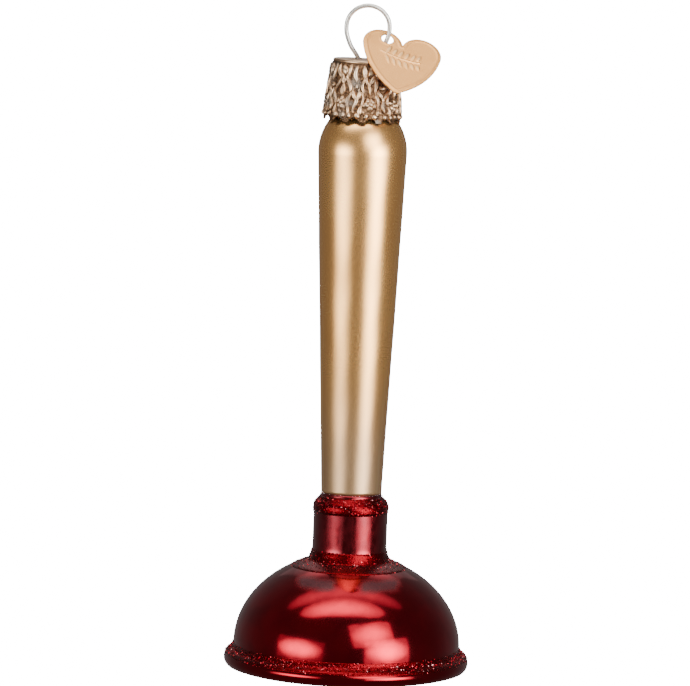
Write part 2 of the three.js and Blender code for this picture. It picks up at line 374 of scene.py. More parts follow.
lipCentre = glass["domeRadius"] + glass["lipOverhang"] - glass["lipRadius"]
footInside = lipCentre - glass["footWidth"]
lipEnd = arc(lipCentre, glass["lipRadius"], glass["lipRadius"], 0, glass["lipTurn"])[-1]
lipBlend = (lipEnd[0] - glass["domeRadius"]) / (1 - math.cos(math.radians(glass["lipTurn"])))
domeFoot = lipEnd[1] + lipBlend * math.sin(math.radians(glass["lipTurn"]))
collarFootRadius = glass["collarRadius"] + glass["collarFootSpread"]
domeReach = math.degrees(math.acos(collarFootRadius / glass["domeRadius"]))


def baseRun():
    radius = (footInside ** 2 + glass["baseDish"] ** 2) / (2 * glass["baseDish"])
    reach = math.degrees(math.asin(footInside / radius))
    dish = arc(0, glass["baseDish"] - radius, radius, 90, 90 - reach, step=0.8)
    dish[0, 0] = 0
    return dish


def lipRun(start):
    return arc(lipCentre, glass["lipRadius"], glass["lipRadius"], start, glass["lipTurn"], step=0.12)


def blendRun():
    return arc(glass["domeRadius"] + lipBlend, domeFoot, lipBlend, 180 + glass["lipTurn"], 180, step=0.15)


def domeRun(start=0.0):
    return arc(0, domeFoot, glass["domeRadius"], start * domeReach, domeReach, rise=glass["domeRise"])


collarFoot = domeRun()[-1, 1]
collarTop = collarFoot + glass["collarFlare"] + glass["collarLength"]
handleFoot = collarTop + glass["collarShoulder"]
shoulderHeight = handleFoot + glass["handleLength"]


def flareRun():
    turn = 2 * math.atan(glass["collarFootSpread"] / glass["collarFlare"])
    radius = glass["collarFlare"] / math.sin(turn)
    centre = glass["collarRadius"] + radius, collarFoot + glass["collarFlare"]
    return arc(*centre, radius, 180 + math.degrees(turn), 180)


def collarRun():
    foot, top = [(glass["collarRadius"], z) for z in (collarFoot + glass["collarFlare"], collarTop)]
    return straight(foot, top)


def collarShoulderRun():
    return easing(glass["collarRadius"], collarTop, glass["handleFootRadius"], handleFoot)


def handleRun(lift=0.0):
    topRadius, bend = glass["handleTopRadius"], math.radians(glass["shoulderTurn"])
    taper = math.atan((topRadius - glass["handleFootRadius"]) / (shoulderHeight - handleFoot))
    shoulder = arc(topRadius - glass["shoulderRadius"], shoulderHeight, glass["shoulderRadius"],
                   -math.degrees(taper), glass["shoulderTurn"])
    blendR = glass["neckRadius"] + glass["neckBlend"] * (1 - math.cos(bend))
    blendZ = shoulder[-1, 1] + (shoulder[-1, 0] - blendR) / math.tan(bend)
    neckFoot = blendZ + glass["neckBlend"] * math.sin(bend)
    blend = arc(glass["neckRadius"] + glass["neckBlend"], neckFoot, glass["neckBlend"],
                180 + glass["shoulderTurn"], 180)
    stem = straight((glass["handleFootRadius"], handleFoot + lift), shoulder[0])
    return joined(stem, shoulder, straight(shoulder[-1], blend[0]), blend)


def cupRuns(lipStart):
    return joined(lipRun(lipStart), blendRun(), domeRun(), flareRun(), collarRun(), collarShoulderRun())


def glassOutside():
    body = joined(baseRun(), cupRuns(-90), handleRun())
    return joined(body, straight(body[-1], (glass["neckRadius"], glass["neckTop"])))


# slow unevenness of hand-blown glass: always inwards, and none where the cap sits
def handBlown(points):
    x, y, z = points.T
    turn, out = np.arctan2(y, x), np.hypot(x, y)
    swing = sum(size * np.sin(lobes * turn + z / climb + start)
                for size, lobes, climb, start in glass["waves"])
    swing /= sum(wave[0] for wave in glass["waves"])
    offAxis = np.clip((out - 2) / 4, 0, 1)
    steady = np.clip((glass["steadyAbove"] - z) / glass["steadyFade"], 0, 1) * offAxis
    pull = glass["unevenness"] * (swing - 1) / 2 * steady
    scale = 1 + pull / np.maximum(out, hair)
    return np.column_stack([x * scale, y * scale, z])


def turned(name, outline, segments, finish, closed=False):
    turn = np.linspace(0, 2 * np.pi, segments, endpoint=False)
    r, z = outline[:, 0][:, None], outline[:, 1][:, None]
    sheet = np.stack(np.broadcast_arrays(r * np.cos(turn), r * np.sin(turn), z), -1).reshape(-1, 3)
    piece = makePiece(name, handBlown(sheet), sheetFaces(len(outline), segments, 0, closed), finish)
    shell = bmesh.new()
    shell.from_mesh(piece.data)
    bmesh.ops.remove_doubles(shell, verts=shell.verts, dist=1e-7)
    bmesh.ops.recalc_face_normals(shell, faces=shell.faces)
    shell.to_mesh(piece.data)
    shell.free()
    return piece


# distance along an outline
def runOf(outline):
    return np.r_[0, np.cumsum(np.linalg.norm(np.diff(outline, axis=0), axis=1))]


# thicknesses of the coats and the gaps under them; thinnest is the share left at a thinned edge
coat = {
    "gap": 0.04, "lacquer": 0.1, "lining": 0.08,
    "glueGap": 0.04, "glueSink": 0.03, "glue": 0.05, "glueEdge": 0.5, "thinnest": 0.02,
}


# closed section of a coat; with an edge given it thins out there, into the surface under it
def skin(outline, inner, outer, edge=0.0):
    full = 1.0
    if edge:
        run = runOf(outline)
        full = np.sqrt(np.clip(np.minimum(run, run[-1] - run) / edge, coat["thinnest"], 1))[:, None]
    return np.vstack([shifted(outline, inner + (outer - inner) * full), shifted(outline, inner)[::-1]])


def clearGlass():
    clear = Finish("clear_glass", IOR=1.5, Transmission_Weight=1)
    seeds = clear.mottle(1.4, 3)
    return clear.painted(
        Base_Color=clear.blend((0.93, 0.96, 0.95), (0.99, 1, 1), seeds),
        Roughness=0.015 + seeds * 0.04,
        Normal=clear.bump(clear.mottle(3.5, 1), 0.05, 0.4))


def silvering():
    silver = Finish("silvering", Metallic=1)
    cloud = silver.mottle(2.2, 4)
    spots = silver.rise(silver.mottle(0.45, 3, seed=3), 0.63, 0.72)
    bright = silver.blend((0.78, 0.78, 0.77), (0.93, 0.92, 0.9), cloud)
    return silver.painted(
        Base_Color=silver.blend(bright, (0.42, 0.36, 0.3), spots),
        Roughness=0.05 + spots * 0.3)


def makeGlass():
    outside = glassOutside()
    body = turned("glassBody", skin(outside, -glass["wall"], 0), glass["segments"], clearGlass())
    settle(body, "glass", "clear_glass", "glass_body")

    # the silvering ends where the neck begins
    mirror = outside[outside[:, 1] < handleRun()[-1, 1] + hair]
    backing = -glass["wall"] - coat["gap"]
    section = skin(mirror, backing - coat["lining"], backing)
    lining = turned("silverLining", section, glass["segments"], silvering())
    settle(lining, "glass", "silvering", "silver_lining")


makeGlass()
print("glass and silvering blown")


# the handle: pale is the thin lacquer's colour, and sets in between the two heights of paleBelow
handle = {
    "partingGap": 0.06, "segments": 160,
    "gold": ((0.92, 0.46, 0.145), (0.97, 0.54, 0.19)),
    "pale": ((0.56, 0.35, 0.19), (0.72, 0.49, 0.29)), "paleBelow": (60, 34),
    "pearl": (1.0, 0.76, 0.42),
}


# satin champagne-gold pearl lacquer, thinner towards the foot of the handle
def goldLacquer(h):
    gold = Finish("gold_lacquer", Metallic=0.97, Coat_Roughness=0.12)
    pearl = gold.mottle(0.13, 2)
    cloud = gold.mottle(7, 3, (1, 1, 0.45), seed=2)
    runs = gold.mottle(1.1, 2, (1, 1, 0.05), seed=5)
    thin = gold.rise(gold.height() + (cloud - 0.5) * 16, *h["paleBelow"])
    colour = gold.blend(gold.blend(*h["gold"], cloud), gold.blend(*h["pale"], runs), thin * 0.85)
    waves = gold.bump(gold.mottle(6, 0, (1, 1, 0.45), seed=4), 0.2, 0.7)
    return gold.painted(
        Base_Color=gold.blend(colour, h["pearl"], gold.rise(pearl, 0.6, 0.8) * 0.35),
        Roughness=0.225 + cloud * 0.05 + pearl * 0.04 + thin * 0.06,
        Coat_Weight=0.06 + runs * 0.08,
        Normal=gold.bump(pearl, 0.008, 0.4, waves))


def makeHandle(h):
    section = skin(handleRun(h["partingGap"]), coat["gap"], coat["gap"] + coat["lacquer"])
    piece = turned("goldHandle", section, h["segments"], goldLacquer(h), closed=True)
    settle(piece, "glass", "gold_lacquer", "handle_lacquer")


makeHandle(handle)
print("handle lacquered")


# the cup and collar: lacquerStart is where the coat begins, in degrees round the lip
cup = {
    "lacquerStart": -48, "segments": 288,
    "red": ((0.30, 0.0045, 0.013), (0.215, 0.003, 0.010)),
    "pooled": (0.13, 0.0015, 0.003),
    "worn": (0.15, 0.004, 0.009),
    "smear": (0.035, 0.011, 0.013),
}


# transparent red lacquer over the mirror
def redLacquer(c):
    red = Finish("red_lacquer", Metallic=1, Coat_Roughness=0.16)
    height = red.height()
    cloud = red.mottle(5, 3, seed=1)
    fine = red.mottle(0.7, 3, seed=4)
    # lacquer runs together and darkens at the lip and round the foot of the collar
    atCollar = red.rise(height, 16.5, 19.5) * (1 - red.rise(height, 21, 23))
    pooled = (1 - red.rise(height, 2.2, 6)) + atCollar
    deep = red.blend(red.blend(*c["red"], red.rise(cloud, 0.35, 0.65)), c["pooled"], pooled * 0.3)
    # dull smears of glue where the fingers held the collar band, and a bloom on the collar
    side = abs(red.node("SeparateXYZ", {}, {0: red.place()}, "X"))
    edge = (red.mottle(2.2, 2, (1, 1, 2), seed=9) - 0.5) * 1.6
    ring = red.rise(height + edge * 0.5, 15.6, 16.7) * (1 - red.rise(height + edge * 0.4, 17.3, 18.4))
    smear = ring * red.rise(side + edge, 1.6, 3.2) * (1 - red.rise(side + edge, 8, 10))
    bloom = red.rise(height, 19.8, 22)
    dusty = bloom * red.rise(red.mottle(0.9, 3, (1, 1, 0.4), seed=8), 0.25, 0.6)
    return red.painted(
        Base_Color=red.blend(red.blend(deep, c["worn"], bloom * 0.7), c["smear"], smear * 0.85),
        Roughness=0.1 + smear * 0.24 + fine * 0.03 + dusty * 0.14,
        Metallic=1 - smear * 0.4,
        Coat_Weight=0.09 + dusty * 0.3 + bloom * 0.1,
        Normal=red.bump(red.mottle(2.6, 1, seed=6), 0.05, 0.6, red.bump(fine, 0.006, 0.5)))


def makeCup(c):
    section = skin(cupRuns(c["lacquerStart"]), coat["gap"], coat["gap"] + coat["lacquer"])
    piece = turned("redCup", section, c["segments"], redLacquer(c), closed=True)
    settle(piece, "glass", "red_lacquer", "cup_lacquer")


makeCup(cup)
print("cup lacquered")


# a line of glue and thousands of small flakes for each band
# start is in millimetres below the collar's top, a share of the dome's arc, and degrees round the lip
glitter = {
    "flake": (0.06, 0.13), "flakeThickness": 0.02, "flakeSides": 6,
    "tilt": 0.5,
    "lift": (0.03, 0.15),
    "widest": 22.27,
    "glueSegments": 256,
    "shades": [(0.0, (0.06, 0.001, 0.003)), (0.5, (0.24, 0.005, 0.012)),
               (0.85, (0.50, 0.05, 0.06)), (1.0, (0.85, 0.42, 0.42))],
    "glueColours": ((0.05, 0.001, 0.0025), (0.2, 0.004, 0.008)),
    "bands": {
        "collarTop": {"node": "glitter_collar_top", "start": 0.9, "flakes": 1500, "seed": 11},
        "collarFoot": {"node": "glitter_collar_foot", "start": 0.86, "flakes": 1500, "seed": 12},
        "rim": {"node": "glitter_rim", "start": 28, "flakes": 4200, "seed": 13},
    },
}


def glitterFinish(shades):
    flake = Finish("red_glitter", Metallic=1)
    tint = flake.node("Attribute", {"attribute_name": "tint"}, {}, "Fac")
    colour = flake.node("ValToRGB", {"stops": shades}, {0: tint})
    return flake.painted(Base_Color=colour, Roughness=0.2 + tint * 0.15)


def glueFinish(colours):
    glue = Finish("glitter_glue", Metallic=1)
    lumps = glue.mottle(0.35, 3)
    return glue.painted(
        Base_Color=glue.blend(*colours, lumps),
        Roughness=0.16 + lumps * 0.22,
        Normal=glue.bump(lumps, 0.08, 0.8))


# a collar band stops a few points short of where the next run starts
def bandOutline(name, start):
    if name == "collarTop":
        below, top = [(glass["collarRadius"], z) for z in (collarTop - start, collarTop)]
        return joined(straight(below, top), collarShoulderRun()[:-2])
    if name == "collarFoot":
        return joined(domeRun(start), flareRun()[:-3])
    return joined(lipRun(start), blendRun())


def makeGlitter(name, band, flakeFinish, glueCoat):
    outline = bandOutline(name, band["start"])
    onLacquer = coat["gap"] + coat["lacquer"] + coat["glueGap"]
    section = skin(outline, onLacquer - coat["glueSink"], onLacquer + coat["glue"], coat["glueEdge"])
    glue = turned(name + "Glue", section, glitter["glueSegments"], glueCoat, closed=True)

    rng = np.random.default_rng(band["seed"])
    count = band["flakes"]
    run = runOf(outline)
    # densest in the middle of the band, and in a line along each edge of it
    where = run[-1] * (0.5 + 0.5 * np.clip(rng.normal(0, 0.5, count), -1, 1))
    angle = rng.uniform(0, 2 * np.pi, count)

    def at(spot):
        return np.array([np.interp(spot, run, column) for column in outline.T])

    # a short step either way along the outline tells which way the glass faces there
    step = 0.02
    (r, z), (dr, dz) = at(where), at(where + step) - at(where - step)
    size = np.hypot(dr, dz)
    out, up = dz / size, -dr / size
    lift = onLacquer + rng.uniform(*glitter["lift"], count)
    r, z = r + out * lift, z + up * lift
    ring = np.stack([np.cos(angle), np.sin(angle), 0 * angle], -1)
    centre = handBlown(ring * r[:, None] + np.outer(z, (0, 0, 1)))
    normal = ring * out[:, None] + np.outer(up, (0, 0, 1)) + rng.normal(0, glitter["tilt"], (count, 3))
    normal /= np.linalg.norm(normal, axis=1)[:, None]
    across = np.cross(normal, rng.normal(0, 1, (count, 3)))
    across /= np.linalg.norm(across, axis=1)[:, None]
    other = np.cross(normal, across)
    radius = rng.uniform(*glitter["flake"], count)
    sides = glitter["flakeSides"]
    spin = np.linspace(0, 2 * np.pi, sides, endpoint=False)
    front = (centre[:, None] + radius[:, None, None]
             * (across[:, None] * np.cos(spin)[:, None] + other[:, None] * np.sin(spin)[:, None]))
    back = front - normal[:, None] * glitter["flakeThickness"]
    points = np.concatenate([front, back], axis=1).reshape(-1, 3)
    # no flake stands out past the glitter's widest
    reach = np.hypot(points[:, 0], points[:, 1])
    points[:, :2] *= np.minimum(1, glitter["widest"] / reach)[:, None]
    rim = [[i, i + sides, (i + 1) % sides + sides, (i + 1) % sides] for i in range(sides)]
    prism = [list(range(sides)), list(range(2 * sides))[:sides - 1:-1], *rim]
    faces = [[2 * sides * i + corner for corner in face] for i in range(count) for face in prism]
    flakes = makePiece(name + "Flakes", points, faces, flakeFinish, smooth=False)
    storeOnPoints(flakes, "tint", np.repeat(rng.beta(1.3, 1.6, count), 2 * sides))
    flakes.parent = glue
    settle(glue, "glass", "red_glitter", band["node"])


flakeFinish, glueCoat = glitterFinish(glitter["shades"]), glueFinish(glitter["glueColours"])
for name, band in glitter["bands"].items():
    makeGlitter(name, band, flakeFinish, glueCoat)
print("glitter stuck on")


# the crown cap: stamped leaves and blossoms, beaded hem
# a leaf is: sideways, height over the hem, lean, length, width, strength; it has a twin on the other side
cap = {
    "sheet": 0.3, "topRadius": 6.0, "hemRadius": 7.15, "top": 0.6, "hem": -10.4, "edge": 0.5, "tilt": 2,
    "scallops": 14, "scallopRadius": 1.15, "scallopDepth": 0.75,
    "wireHole": 0.66, "holeSpacing": 2.5,
    "holeRound": 32, "around": 644, "rows": 116, "fadeRows": (2, 6), "insideRows": 8, "bendRows": 11,
    "topRings": (5.1, 4.95, 4.8, 4.65, 4.5, 4.35, 4.2, 3.9, 3.5), "underRings": (3.5, 4.2, 5.0),
    "groove": 4.65, "grooveWidth": 0.16, "grooveDepth": 0.1,
    "sunk": 0.16, "relief": 0.5,
    "panels": 8, "leafRow": 6.7, "beads": 28, "beadRow": 7.1, "beadRadius": 0.5,
    "blossomLeaves": (
        (0.5, 7.7, 24, 2.4, 0.8, 0.9), (0, 5.8, 0, 2.6, 0.72, 0.9), (1.25, 9.0, 6, 2.6, 0.85, 1),
        (1.15, 6.6, -10, 3.0, 0.85, 0.95), (1.5, 4.2, 8, 2.8, 0.8, 0.95), (1.45, 2.2, -4, 1.9, 0.75, 0.85)),
    "budLeaves": ((0, 8.6, 0, 3.2, 0.95, 1), (0.42, 5.0, 20, 2.6, 0.72, 0.95), (0, 3.2, 0, 2.9, 0.85, 1)),
    "shades": [(0.0, (0.085, 0.045, 0.024)), (0.3, (0.25, 0.14, 0.072)),
               (0.62, (0.50, 0.30, 0.165)), (0.95, (0.70, 0.50, 0.32))],
    "grey": (0.36, 0.33, 0.28),
}
capPlace = Matrix.Translation((0, 0, glass["neckTop"])) @ Matrix.Rotation(math.radians(cap["tilt"]), 4, "Y")


# signed distance round a row of the given radius from a feature at a given turn
def alongRow(turn, at, radius):
    return ((turn - at + np.pi) % (2 * np.pi) - np.pi) * radius


def leaf(s, z, lean, length, width, vein=0.3):
    tilt = math.radians(lean)
    a = (z * math.cos(tilt) + s * math.sin(tilt)) / (length / 2)
    b = (s * math.cos(tilt) - z * math.sin(tilt)) / (width / 2)
    spread = np.clip(1 - a ** 2, 0, 1) ** 0.7
    body = np.sqrt(np.clip(1 - (b / np.maximum(spread, 1e-3)) ** 2, 0, 1)) * (np.abs(a) < 1)
    return body * (0.55 + 0.45 * spread) * (1 - vein * np.exp(-(b / 0.16) ** 2))


def dome(s, z, radius):
    return np.sqrt(np.clip(1 - (s ** 2 + z ** 2) / radius ** 2, 0, 1))


def rosette(s, z, radius, petals, spin=0.0):
    d, turn = np.hypot(s, z), np.arctan2(z, s) + spin
    edge = radius * (0.74 + 0.26 * np.abs(np.cos(petals * turn / 2)))
    ring = np.clip(1 - (d / edge) ** 4, 0, 1) * (0.45 + 0.55 * np.abs(np.cos(petals * turn / 2)) ** 0.6)
    return np.maximum(ring * np.clip(d / (0.45 * radius), 0, 1), 0.95 * dome(s, z, radius * 0.3))


def capRelief(c, turn, z):
    # a stamped sheet is never quite regular
    turn = turn + 0.035 * np.sin(5 * turn + z) + 0.025 * np.sin(11 * turn - 1.7 * z)
    high = z - c["hem"]
    relief = np.zeros_like(turn)

    def press(shape, amount=1.0):
        np.maximum(relief, shape * amount, out=relief)

    def pressLeaves(s, leaves):
        for across, up, lean, length, width, amount in leaves:
            for side in (-1, 1):
                press(leaf(s - side * across, high - up, side * lean, length, width), amount)

    # rows of long leaves stand shoulder to shoulder; blossoms and buds take turns between them
    panels = c["panels"]
    for i in range(panels):
        at = 2 * np.pi * (i + 0.22) / panels
        s = alongRow(turn, at, c["leafRow"])
        press(dome(s, (high - 9.1) * 0.9, 0.85))
        press(rosette(s, high - 3.35, 1.35, 5, 0.7 * i))
        pressLeaves(s, c["blossomLeaves"])
        s = alongRow(turn, at + np.pi / panels, c["leafRow"])
        press(dome(s, high - 6.35, 0.5), 0.9)
        pressLeaves(s, c["budLeaves"])
    for i in range(c["beads"]):
        s = alongRow(turn, 2 * np.pi * (i + 0.5) / c["beads"], c["beadRow"])
        press(dome(s, high - 1.2, c["beadRadius"]))
        press(dome(s + 0.72, high - 1.9, 0.3), 0.6)
    pebbles = 0.1 * np.sin(31 * turn + 4 * z) * np.sin(23 * turn - 5.3 * z) + 0.1
    return relief + pebbles * (relief < 0.3)


def capBrass(c):
    brass = Finish("cap_brass", Metallic=1)
    relief = brass.node("Attribute", {"attribute_name": "relief"}, {}, "Fac")
    grime = brass.mottle(0.8, 3)
    worn = relief + (grime - 0.5) * 0.5
    shades = brass.node("ValToRGB", {"stops": c["shades"]}, {0: worn})
    grey = brass.rise(brass.mottle(2.6, 2, seed=7), 0.5, 0.68)
    fine = brass.mottle(0.12, 2)
    return brass.painted(
        Base_Color=brass.blend(shades, c["grey"], grey * 0.45),
        Roughness=0.5 - brass.rise(relief, 0.2, 0.8) * 0.26 + fine * 0.1,
        Normal=brass.bump(fine, 0.02, 0.6))


def hemEdge(c, turn):
    step = 2 * np.pi / c["scallops"]
    offset = ((turn + step / 2) % step - step / 2) * c["hemRadius"]
    bite = np.sqrt(np.clip(c["scallopRadius"] ** 2 - offset ** 2, 0, None))
    return c["hem"] + np.clip(bite - c["scallopRadius"] + c["scallopDepth"], 0, None)


# rings of points round the sheet: down the inside to the hem, up the outside, over the top and back under it
# also gives how far each point is stamped out, and which ring ends the upper face
def capRings(c):
    around = c["around"]
    turn = np.linspace(0, 2 * np.pi, around, endpoint=False)
    spin = np.stack([np.cos(turn), np.sin(turn)], -1)
    sideTop = c["top"] - c["edge"]
    edgeZ = hemEdge(c, turn)

    def sideRadius(z):
        return np.interp(z, [c["hem"], sideTop], [c["hemRadius"], c["topRadius"]])

    points, heights = [], []

    def addRing(r, z, raised=0.0):
        points.append(np.column_stack([spin * np.reshape(r, (-1, 1)), np.full(around, z)]))
        heights.append(np.full(around, raised))

    inner, bendRadius = c["sheet"], c["topRadius"] - c["edge"]
    for t in np.linspace(1, 0, c["insideRows"]):
        z = edgeZ + t * (sideTop - edgeZ)
        addRing(sideRadius(z) - inner, z)
    low, high = c["fadeRows"]
    for t in np.linspace(0, 1, c["rows"]):
        z = edgeZ + t * (sideTop - edgeZ)
        fade = np.clip(t * c["rows"] / low, 0, 1) * np.clip((1 - t) * c["rows"] / high, 0, 1)
        raised = capRelief(c, turn, z) * fade
        addRing(sideRadius(z) - c["sunk"] + c["relief"] * raised, z, raised)
    lean = math.atan((c["hemRadius"] - c["topRadius"]) / (sideTop - c["hem"]))

    def addBend(bend, across, up, raised=0.0):
        addRing(bendRadius + across * math.cos(bend), sideTop + up * math.sin(bend), raised)

    for bend in np.linspace(lean, np.pi / 2, c["bendRows"])[1:]:
        soft = c["sunk"] * (1 - (bend - lean) / (np.pi / 2 - lean))
        addBend(bend, c["edge"] - soft, c["edge"], 0.75)
    for r in c["topRings"]:
        groove = math.exp(-((r - c["groove"]) / c["grooveWidth"]) ** 2)
        addRing(r, c["top"] - c["grooveDepth"] * groove, 0.7 - 0.6 * groove)
    upperEdge = len(points) - 1
    for r in c["underRings"]:
        addRing(r, c["top"] - inner)
    for bend in np.linspace(np.pi / 2, lean, 5)[1:-1]:
        addBend(bend, c["edge"] - inner, c["edge"] - inner)
    return np.concatenate(points), np.concatenate(heights), upperEdge


def makeCap(c, finish):
    around = c["around"]
    points, heights, upperEdge = capRings(c)

    # the last ring meets the first one again, so the sheet closes
    # the top is left open between its upper face and underside, and filled round the wire holes further down
    quads = sheetFaces(len(points) // around, around, closedRows=True)
    faces = quads[:upperEdge * around] + quads[(upperEdge + 1) * around:]

    shell = bmesh.new()
    mark = shell.verts.layers.float.new("relief")
    made = [shell.verts.new(p) for p in points]
    for vert, value in zip(made, heights):
        vert[mark] = value
    for f in faces:
        shell.faces.new([made[i] for i in f])

    # both faces of the top, with the two wire holes through them
    holes = []
    for edge, z in ((upperEdge, c["top"]), (upperEdge + 1, c["top"] - c["sheet"])):
        rim = made[edge * around:(edge + 1) * around]
        sides = [shell.edges.get((a, b)) or shell.edges.new((a, b)) for a, b in zip(rim, rim[1:] + rim[:1])]
        for side in (-1, 1):
            hole = []
            for bend in np.linspace(0, 2 * np.pi, c["holeRound"], endpoint=False):
                vert = shell.verts.new((side * c["holeSpacing"] / 2 + c["wireHole"] * math.cos(bend),
                                        c["wireHole"] * math.sin(bend), z))
                vert[mark] = 0.3
                hole.append(vert)
            sides += [shell.edges.new((a, b)) for a, b in zip(hole, hole[1:] + hole[:1])]
            holes.append(hole)
        bmesh.ops.triangle_fill(shell, use_beauty=True, edges=sides)
    for upper, lower in zip(holes[:2], holes[2:]):
        for i, vert in enumerate(upper):
            shell.faces.new([upper[i - 1], vert, lower[i], lower[i - 1]])
    bmesh.ops.recalc_face_normals(shell, faces=shell.faces)
    bmesh.ops.transform(shell, matrix=Matrix.Scale(mm, 4) @ capPlace, verts=shell.verts)
    mesh = bpy.data.meshes.new("crownCap")
    shell.to_mesh(mesh)
    shell.free()
    mesh.polygons.foreach_set("use_smooth", [True] * len(mesh.polygons))
    mesh.set_sharp_from_angle(angle=math.radians(50))
    mesh.materials.append(finish)
    piece = bpy.data.objects.new("crownCap", mesh)
    bpy.context.scene.collection.objects.link(piece)
    settle(piece, "cap", "cap_brass", "crown_cap")


makeCap(cap, capBrass(cap))
print("cap stamped")


# the hanger: one sprung wire
hanger = {
    "wire": 0.42, "loop": 3.88, "rise": 6.1, "drop": 5.3, "lean": 8, "legDepth": 13.5, "legFit": 1.25,
    "waist": 0.95, "waistDepth": 2.6, "opening": 100, "loopPoints": 9,
    "perSpan": 22, "round": 28, "thinner": 0.98,
    "steel": ((0.56, 0.53, 0.47), (0.74, 0.71, 0.65)),
}
hangerPlace = (capPlace @ Matrix.Translation((0, 0, cap["top"] - cap["sheet"] / 2))
               @ Matrix.Rotation(math.radians(hanger["lean"]), 4, "X"))


def loopPoint(h, angle):
    turn = math.radians(angle)
    tall = h["loop"] if math.sin(turn) > 0 else h["drop"]
    return np.array((h["loop"] * math.cos(turn), 0, h["rise"] + tall * math.sin(turn)))


# a smooth line through points, even where they are unevenly spaced
def throughPoints(points, perSpan):
    points = [2 * points[0] - points[1], *points, 2 * points[-1] - points[-2]]
    line = []
    for a, b, c, d in zip(points, points[1:], points[2:], points[3:]):
        before, here, after = [math.dist(p, q) ** 0.5 for p, q in ((a, b), (b, c), (c, d))]
        leave = ((b - a) / before - (c - a) / (before + here) + (c - b) / here) * here
        arrive = ((c - b) / here - (d - b) / (here + after) + (d - c) / after) * here
        for t in np.linspace(0, 1, perSpan, endpoint=False):
            line.append(b + leave * t + (3 * (c - b) - 2 * leave - arrive) * t ** 2
                        + (2 * (b - c) + leave + arrive) * t ** 3)
    return np.array(line + [points[-2]])


def springWire(h):
    wire = Finish("spring_wire", Metallic=0.8)
    drawn = wire.mottle(0.09, 2, (1, 1, 0.25))
    dull = wire.mottle(1.3, 3, seed=2)
    return wire.painted(
        Base_Color=wire.blend(*h["steel"], dull),
        Roughness=0.26 + dull * 0.12 + drawn * 0.06,
        Normal=wire.bump(drawn, 0.006, 0.5))


def makeHanger(h):
    spread = glass["neckRadius"] - glass["wall"] - h["wire"] - h["legFit"]
    leg = [np.array(p, float) for p in (
        (spread, 0, -h["legDepth"]), ((spread + h["waist"]) / 2, 0, -(h["legDepth"] + h["waistDepth"]) / 2),
        (h["waist"], 0, -h["waistDepth"]), (cap["holeSpacing"] / 2, 0, 0))]
    sweep = 360 - h["opening"]
    loop = [loopPoint(h, 90 + sweep * (i / (h["loopPoints"] - 1) - 0.5)) for i in range(h["loopPoints"])]
    otherLeg = [p * (-1, 1, 1) for p in reversed(leg)]
    line = throughPoints(leg + loop + otherLeg, h["perSpan"])
    along = np.gradient(line, axis=0)
    along /= np.linalg.norm(along, axis=1)[:, None]
    side = np.array((0.0, 1.0, 0.0))
    out = np.cross(along, side)
    turn = np.linspace(0, 2 * np.pi, h["round"], endpoint=False)
    tube = (line[:, None] + h["wire"] * h["thinner"]
            * (out[:, None] * np.cos(turn)[:, None] - side * np.sin(turn)[:, None])).reshape(-1, 3)
    faces = sheetFaces(len(line), h["round"])
    last = len(tube) - h["round"]
    faces += [list(range(h["round"]))[::-1], list(range(last, len(tube)))]
    piece = makePiece("hangerWire", moved(tube, hangerPlace), faces, springWire(h))
    settle(piece, "hanger", "spring_wire", "hanger_wire")


makeHanger(hanger)
print("hanger bent")


# the heart tag: stamped foil with a raised border and a leaf sprig
tag = {
    "thickness": 0.35,
    "lobe": 3.68, "lobeOffset": 3.56, "length": 11.2, "sideRadius": 15.7, "tipRadius": 0.93,
    "hole": 1.1, "holeAt": (-2.89, 1.68), "wireAngle": -20.5, "turn": 16.3, "yaw": 17.1, "slack": 0.22,
    "rest": 0.15, "restEdge": 0.7,
    "outlineStep": 0.12, "holeRound": 60, "grid": 0.13, "gridFromEdge": 0.16, "gridFromHole": 0.12,
    "round": 0.09, "roundRows": (0.05, 0.11), "middle": (0, -1.2), "halfWidth": 6.5,
    "border": 0.62, "borderWidth": 0.2, "eyelet": 0.3, "eyeletWidth": 0.16, "borderHeight": 0.08,
    "sprig": 0.2, "sprigAt": (-0.1, -2.6), "sprigLeaves": (-2.6, -1.45, -0.3, 0.85, 2.0, 3.0),
    "gold": ((0.88, 0.41, 0.115), (0.95, 0.48, 0.15)),
    # the last colour is a painted highlight, laid on the raised border and sprig
    "glint": (1.0, 0.70, 0.30), "reliefHighlight": (1.0, 0.70, 0.36),
}


# half of the outline is a small arc at the tip, a long side and a lobe
def heartOutline(t, step):
    lobe, tip = np.array((t["lobeOffset"], 0.0)), np.array((0.0, t["tipRadius"] - t["length"]))
    toLobe, toTip = t["sideRadius"] - t["lobe"], t["sideRadius"] - t["tipRadius"]
    apart = math.dist(lobe, tip)
    bend = math.acos((toLobe ** 2 + apart ** 2 - toTip ** 2) / (2 * toLobe * apart))
    towards = math.atan2(tip[1] - lobe[1], tip[0] - lobe[0]) - bend
    middle = lobe + toLobe * np.array((math.cos(towards), math.sin(towards)))
    start = math.degrees(math.atan2(*(tip - middle)[::-1]))
    end = math.degrees(math.atan2(*(lobe - middle)[::-1]))
    notch = math.degrees(math.acos(t["lobeOffset"] / t["lobe"]))
    half = joined(arc(*tip, t["tipRadius"], -90, start, step=step),
                  arc(*middle, t["sideRadius"], start, end, step=step),
                  arc(*lobe, t["lobe"], end, 180 - notch, step=step))
    return np.vstack([half, (half * (-1, 1))[-2:0:-1]])


# how far points inside the outline are from it, some at a time, from dense samples of it
def heartDistance(t, points):
    outline = heartOutline(t, 0.05)
    blocks = np.array_split(points, math.ceil(len(points) / 400))
    return np.concatenate([np.sqrt(((block[:, None] - outline) ** 2).sum(-1).min(1)) for block in blocks])


def holeDistance(t, points):
    return np.hypot(*(points - t["holeAt"]).T) - t["hole"]


